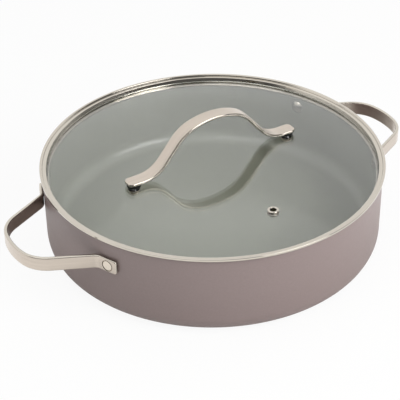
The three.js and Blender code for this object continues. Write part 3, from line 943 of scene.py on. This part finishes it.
class POT_OT_lid_ring(Operator):
    """Rolls the steel ring round the lid, with its skirt and the groove for the glass"""

    bl_idname = "cooking_pot.lid_ring"
    bl_label = "Lid Ring"

    def execute(self, context):
        pot = context.scene.cooking_pot
        ring = pot.ring
        glass = pot.glass
        skirt = pot.body.outer_radius - pot.body.wall - ring.skirt_clearance
        groove = skirt - ring.sheet
        inner = glass.radius - glass.grip
        underside = ring.top - ring.height
        edge_top = glass.top - glass.rise
        groove_top = edge_top + glass.clearance
        groove_bottom = edge_top - glass.thickness - glass.clearance
        lean = math.atan2(ring.bead_lean, ring.bead_step)
        bead = ring.outer_radius - ring.top_edge - ring.top_land
        bead -= ring.bead_round * math.tan(math.pi / 4 - lean / 2)
        flange = ring.top - ring.bead_step
        hem = inner - ring.hem_reach
        hem_top = ring.bottom + ring.hem_height
        small = ring.small_edge
        outline = rounded([
            (hem, ring.bottom, ring.hem_edge),
            (skirt, ring.bottom, small),
            (skirt, underside, small),
            (ring.outer_radius, underside, ring.lower_edge),
            (ring.outer_radius, ring.top, ring.top_edge),
            (bead, ring.top, ring.bead_round),
            (bead - ring.bead_lean, flange, small),
            (inner + ring.face_lean, flange, ring.flange_edge),
            (inner, groove_top),
            (groove, groove_top),
            (groove, groove_bottom),
            (inner, groove_bottom),
            (inner, hem_top, small),
            (hem, hem_top, ring.hem_edge),
        ])
        piece = turned("lid_rim_ring_polished", outline, LARGE_SEGMENTS, closed=True)
        stand_for(piece, "lid_rim_ring", "lid", [stainless_steel_polished(ring.steel)])
        return {"FINISHED"}


class POT_OT_lid_glass(Operator):
    """Makes the lid's glass, with holes for the handle's bosses and the vent"""

    bl_idname = "cooking_pot.lid_glass"
    bl_label = "Lid Glass"

    def execute(self, context):
        pot = context.scene.cooking_pot
        glass = pot.glass
        flat = glass.flat_margin - low("steam_vent_washer").y
        roll = glass.radius - flat
        roll_radius = (roll ** 2 + glass.rise ** 2) / (2 * glass.rise)
        up = math.pi / 2
        turn = math.asin(roll / roll_radius)
        step = turn / ROLL_STEPS
        lower_centre = (flat, glass_bottom(pot) - roll_radius)
        upper_centre = (flat, glass.top - roll_radius)
        outline = [
            (0, glass_bottom(pot)),
            *arc(lower_centre, roll_radius, up, up - turn, step),
            *arc(upper_centre, roll_radius, up - turn, up, step),
            (0, glass.top),
        ]
        piece = turned("lid_glass_clear", outline, LARGE_SEGMENTS)
        fastener = pot.fastener
        boss_hole = fastener.boss_radius + fastener.collar_wall + 2 * fastener.clearance
        vent_hole = pot.vent.bore_radius + pot.vent.sheet + pot.vent.clearance
        screw_at = pot.lid_handle.screw_spacing / 2
        holes = [
            ((screw_at, 0.0), boss_hole),
            ((-screw_at, 0.0), boss_hole),
            ((0.0, middle("steam_vent_eyelet").y), vent_hole),
        ]
        bottom = glass_bottom(pot) - CUT_MARGIN
        top = glass.top + CUT_MARGIN
        cutters = []
        for (x, y), radius in holes:
            outline = [(0, bottom), (radius, bottom), (radius, top), (0, top)]
            cutter = turned("glass_hole", outline, SMALL_SEGMENTS)
            cutter.data.transform(Matrix.Translation((x, y, 0)))
            cutters.append(cutter)
        cut_away(piece, cutters)
        stand_for(piece, "lid_glass", "lid", [soda_lime_glass_tempered(glass.tint)])
        return {"FINISHED"}


class POT_OT_lid_handle(Operator):
    """Bends the lid's handle over the middle of the glass"""

    bl_idname = "cooking_pot.lid_handle"
    bl_label = "Lid Handle"

    def execute(self, context):
        pot = context.scene.cooking_pot
        strap = pot.strap
        handle = pot.lid_handle
        foot_level = handle.underside + strap.thickness / 2
        knee = handle.screw_spacing / 2 - handle.screw_to_bend

        def foot_at(distance):
            return foot_level, knee + distance, -math.pi / 2

        def in_space(u, v, across):
            return v, across, u

        bow = Bow(handle.top - strap.thickness / 2, handle.bend, handle.splay, handle.shoulder, handle.crown)
        half = half_bow(foot_at, handle.screw_to_bend + handle.screw_to_end, handle.end_corner, bow)
        piece = bent_strap("lid_handle_brushed", strap, handle.end_corner, half, in_space)
        stand_for(piece, "lid_handle", "lid", strap_steels(pot))
        return {"FINISHED"}


class POT_OT_lid_fasteners(Operator):
    """Stacks the bosses, washers and screws that hold the lid's handle"""

    bl_idname = "cooking_pot.lid_fasteners"
    bl_label = "Lid Fasteners"

    def execute(self, context):
        pot = context.scene.cooking_pot
        fastener = pot.fastener
        steel = "fastener_steel", [stainless_steel_tumbled(pot.rivet.steel)]
        silicone = "black_silicone", [silicone_rubber_moulded(fastener.silicone)]
        kinds = {
            "boss": (self.boss, steel),
            "upper_washer": (self.upper_washer, silicone),
            "lower_washer": (self.lower_washer, silicone),
            "flat_washer": (self.flat_washer, steel),
            "screw": (self.screw, steel),
        }
        for side in ("right", "left"):
            for kind, (make, (slot, materials)) in kinds.items():
                node = f"{side}_lid_{kind}"
                piece = make(pot, node)
                piece.data.transform(Matrix.Translation((middle(node).x, 0, 0)))
                stand_for(piece, node, "lid", materials)
        return {"FINISHED"}

    def boss(self, pot, node):
        fastener = pot.fastener
        bore = fastener.shank_radius + fastener.thread_gap
        roof = high(node).z - fastener.boss_top
        outline = rounded([
            (0, roof),
            (bore, roof),
            (bore, low(node).z, fastener.edge),
            (fastener.boss_radius, low(node).z, fastener.edge),
            (fastener.boss_radius, high(node).z),
            (0, high(node).z),
        ])
        return turned(f"{node}_threaded", outline, SMALL_SEGMENTS)

    def upper_washer(self, pot, node):
        fastener = pot.fastener
        bore = fastener.boss_radius + fastener.clearance
        collar = bore + fastener.collar_wall
        outer = half_size(node).y
        outline = rounded([
            (bore, low(node).z),
            (collar, low(node).z, fastener.edge),
            (collar, pot.glass.top),
            (outer, pot.glass.top, fastener.soft_edge),
            (outer, high(node).z, fastener.soft_edge),
            (bore, high(node).z),
        ])
        return turned(f"{node}_moulded", outline, SMALL_SEGMENTS, closed=True)

    def lower_washer(self, pot, node):
        fastener = pot.fastener
        return flat_ring(node, "moulded", fastener.boss_radius + fastener.clearance, fastener.soft_edge)

    def flat_washer(self, pot, node):
        fastener = pot.fastener
        return flat_ring(node, "pressed", fastener.shank_radius + fastener.clearance, fastener.edge)

    def screw(self, pot, node):
        fastener = pot.fastener
        bottom = low(node).z
        seat = low(node.replace("screw", "flat_washer")).z
        outline = rounded([
            (0, bottom),
            (fastener.head_radius, bottom, fastener.head_dome),
            (fastener.head_radius, seat, fastener.edge),
            (fastener.shank_radius, seat),
            (fastener.shank_radius, high(node).z, fastener.edge),
            (0, high(node).z),
        ])
        piece = turned(f"{node}_headed", outline, SMALL_SEGMENTS)
        sizes = [(fastener.slot_length, fastener.slot_width), (fastener.slot_width, fastener.slot_length)]
        cutters = []
        for wide, deep in sizes:
            shape = bmesh.new()
            bmesh.ops.create_cube(shape, size=1.0)
            cutter = as_object("cross_slot", shape)
            cutter.data.transform(Matrix.Diagonal((wide, deep, 2 * fastener.slot_depth, 1)))
            cutter.data.transform(Matrix.Translation((0, 0, bottom)))
            cutters.append(cutter)
        cut_away(piece, cutters)
        return piece


class POT_OT_steam_vent(Operator):
    """Rolls the steam vent's eyelet and lays the washer under the glass"""

    bl_idname = "cooking_pot.steam_vent"
    bl_label = "Steam Vent"

    def execute(self, context):
        pot = context.scene.cooking_pot
        vent = pot.vent
        across = middle("steam_vent_eyelet").y
        bore = vent.bore_radius
        barrel = bore + vent.sheet
        flange = half_size("steam_vent_eyelet").x
        top = high("steam_vent_eyelet").z
        bottom = low("steam_vent_eyelet").z
        washer_bottom = low("steam_vent_washer").z
        outline = rounded([
            (bore, bottom, vent.edge),
            (vent.lip_radius, bottom, vent.edge),
            (vent.lip_radius, washer_bottom, vent.edge),
            (barrel, washer_bottom),
            (barrel, pot.glass.top),
            (flange, pot.glass.top, vent.under_round),
            (flange, top, vent.round),
            (bore, top, vent.round),
        ])
        eyelet = turned("steam_vent_eyelet_polished", outline, SMALL_SEGMENTS, closed=True)
        washer = flat_ring("steam_vent_washer", "pressed", barrel + vent.clearance, vent.edge)
        for piece in (eyelet, washer):
            piece.data.transform(Matrix.Translation((0, across, 0)))
        polished = [stainless_steel_polished(pot.ring.steel)]
        tumbled = [stainless_steel_tumbled(pot.rivet.steel)]
        stand_for(eyelet, "steam_vent_eyelet", "lid", polished)
        stand_for(washer, "steam_vent_washer", "lid", tumbled)
        return {"FINISHED"}


# Stage

Softbox = namedtuple("Softbox", "name turn elevation distance size power")

# The lamps stand round the pot, at degrees from the camera and above the floor, the key to its right.
SOFTBOXES = (
    Softbox("key_softbox", turn=54, elevation=36, distance=1.6, size=1.1, power=18.0),
    Softbox("fill_softbox", turn=-32, elevation=60, distance=1.6, size=1.2, power=5.0),
    Softbox("top_softbox", turn=180, elevation=85, distance=1.6, size=2.0, power=4.0),
)


def direction(azimuth, elevation):
    """From the pot towards a place at that turn and height; turn 0 is on the -Y side."""
    flat = math.cos(elevation)
    return Vector((math.sin(azimuth) * flat, -math.cos(azimuth) * flat, math.sin(elevation)))


class POT_OT_stage(Operator):
    """Sets up the camera, floor, white surroundings and softboxes"""

    bl_idname = "cooking_pot.stage"
    bl_label = "Stage"

    def execute(self, context):
        stage = context.scene.cooking_pot.stage
        context.scene.view_settings.view_transform = "Standard"
        self.camera(context.scene, stage)
        self.floor(stage)
        self.surroundings(context.scene, stage)
        for softbox in SOFTBOXES:
            self.lamp(context.scene, stage, softbox)
        return {"FINISHED"}

    def camera(self, scene, stage):
        data = bpy.data.cameras.new("camera")
        data.lens = stage.focal
        camera = bpy.data.objects.new("camera", data)
        scene.collection.objects.link(camera)
        place = direction(stage.azimuth, stage.elevation) * stage.distance
        back = place - Vector(stage.aim)
        turn = back.to_track_quat("Z", "Y").to_matrix() @ Matrix.Rotation(stage.roll, 3, "Z")
        camera.matrix_world = Matrix.Translation(place) @ turn.to_4x4()
        scene.camera = camera

    def floor(self, stage):
        outline = [(0, 0), (stage.floor_radius, 0)]
        floor = turned("studio_floor", outline, SMALL_SEGMENTS)
        floor.location.z = -stage.floor_gap
        floor.data.materials.append(studio_floor_painted(stage.floor_paint))

    def surroundings(self, scene, stage):
        """A white sweep behind the pot and a dim room on the camera's side.

        Metal, glass and coats mirror them, and they light dull surfaces, softer. The camera itself,
        and a view through glass, gets plain white.
        """
        world = bpy.data.worlds.new("white_surroundings")
        world.use_nodes = True
        tree = world.node_tree
        tree.nodes.clear()
        behind = -direction(stage.azimuth + stage.sweep_turn, stage.sweep_dip)
        way = add_node(tree, "ShaderNodeTexCoord").outputs["Generated"]
        depth = add_node(tree, "ShaderNodeVectorMath", {0: way, 1: behind}, operation="DOT_PRODUCT")
        bright = add_node(tree, "ShaderNodeMapRange", {
            "Value": depth.outputs["Value"],
            "From Min": math.cos(stage.room_edge),
            "From Max": math.cos(stage.sweep_edge),
            "To Min": stage.room,
            "To Max": stage.sweep,
        }, interpolation_type="SMOOTHSTEP")
        path = add_node(tree, "ShaderNodeLightPath")
        softer = add_node(tree, "ShaderNodeMapRange",
                          {"Value": path.outputs["Is Diffuse Ray"], "To Min": 1.0, "To Max": stage.dulled})
        level = add_node(tree, "ShaderNodeMath",
                         {0: bright.outputs[0], 1: softer.outputs[0]}, operation="MULTIPLY")
        seen = add_node(tree, "ShaderNodeMath",
                        {0: path.outputs["Is Camera Ray"], 1: path.outputs["Is Transmission Ray"]},
                        operation="MAXIMUM")
        surroundings = add_node(tree, "ShaderNodeBackground", {"Color": WHITE, "Strength": level.outputs[0]})
        plain = add_node(tree, "ShaderNodeBackground", {"Color": WHITE, "Strength": 1.0})
        shown = add_node(tree, "ShaderNodeMixShader",
                         {0: seen.outputs[0], 1: surroundings.outputs[0], 2: plain.outputs[0]})
        add_node(tree, "ShaderNodeOutputWorld", {"Surface": shown.outputs[0]})
        scene.world = world

    def lamp(self, scene, stage, softbox):
        data = bpy.data.lights.new(softbox.name, "AREA")
        data.shape = "DISK"
        data.size = softbox.size
        data.energy = softbox.power
        lamp = bpy.data.objects.new(softbox.name, data)
        scene.collection.objects.link(lamp)
        azimuth = stage.azimuth + math.radians(softbox.turn)
        out = direction(azimuth, math.radians(softbox.elevation))
        turn = out.to_track_quat("Z", "Y").to_matrix().to_4x4()
        lamp.matrix_world = Matrix.Translation(out * softbox.distance) @ turn


# Sidebar and registration

OPERATORS = (
    POT_OT_stage,
    POT_OT_body,
    POT_OT_base_plate,
    POT_OT_side_handles,
    POT_OT_rivets,
    POT_OT_lid_ring,
    POT_OT_lid_glass,
    POT_OT_lid_handle,
    POT_OT_lid_fasteners,
    POT_OT_steam_vent,
)


class POT_PT_sidebar(Panel):
    """Lists the pieces of the pot"""

    bl_idname = "POT_PT_sidebar"
    bl_label = "Cooking Pot"
    bl_space_type = "VIEW_3D"
    bl_region_type = "UI"
    bl_category = "Pot"

    def draw(self, context):
        for operator in OPERATORS:
            self.layout.operator(operator.bl_idname)


CLASSES = (
    PotBodySettings,
    BasePlateSettings,
    StrapSettings,
    SideHandleSettings,
    RivetSettings,
    LidRingSettings,
    LidGlassSettings,
    LidHandleSettings,
    FastenerSettings,
    VentSettings,
    StageSettings,
    CookingPotSettings,
    *OPERATORS,
    POT_PT_sidebar,
)


def register():
    for cls in CLASSES:
        bpy.utils.register_class(cls)
    bpy.types.Scene.cooking_pot = PointerProperty(type=CookingPotSettings)


def unregister():
    del bpy.types.Scene.cooking_pot
    for cls in reversed(CLASSES):
        bpy.utils.unregister_class(cls)


def main():
    register()
    for operator in OPERATORS:
        family, name = operator.bl_idname.split(".")
        getattr(getattr(bpy.ops, family), name)()


if __name__ == "__main__":
    main()
